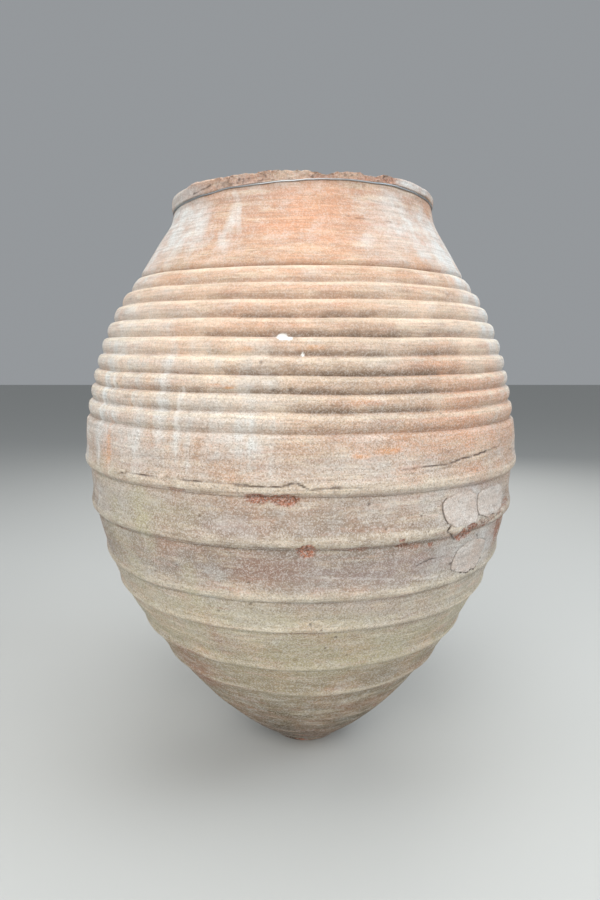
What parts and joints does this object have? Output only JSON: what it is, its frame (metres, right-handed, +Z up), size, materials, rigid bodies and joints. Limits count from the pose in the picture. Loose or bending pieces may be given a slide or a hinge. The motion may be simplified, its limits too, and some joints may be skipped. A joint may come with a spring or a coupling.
{
  "type": "storage jar",
  "caption": "Tall wide-bellied storage jar of fired clay without handles: small foot, lapped lower courses, ribbed shoulder, short neck, rolled lip and a neck wire.",
  "frame": {"origin": "on the ground under the centre of the foot", "axes": "+Z up along the jar's axis, -Y the front with the worn lip, +X to the right of the front, towards the mortar patches"},
  "size_m": [0.8508, 0.8508, 1.106],
  "materials": {
    "terracotta": "unglazed fired clay, weathered, with a pale lime bloom",
    "mortar": "lime mortar, trowelled and weathered",
    "galvanised_wire": "zinc-coated steel wire, dull"
  },
  "bodies": {
    "root": {"base_disc": "terracotta", "foot_course": "terracotta", "course_1": "terracotta", "course_2": "terracotta", "course_3": "terracotta", "course_4": "terracotta", "course_5": "terracotta", "course_6": "terracotta", "shoulder_lower": "terracotta", "shoulder_upper": "terracotta", "neck": "terracotta", "rim": "terracotta", "binding_wire": "galvanised_wire", "mortar_patch_front": "mortar", "mortar_patch_side": "mortar", "mortar_patch_low": "mortar"}
  },
  "joints": []
}
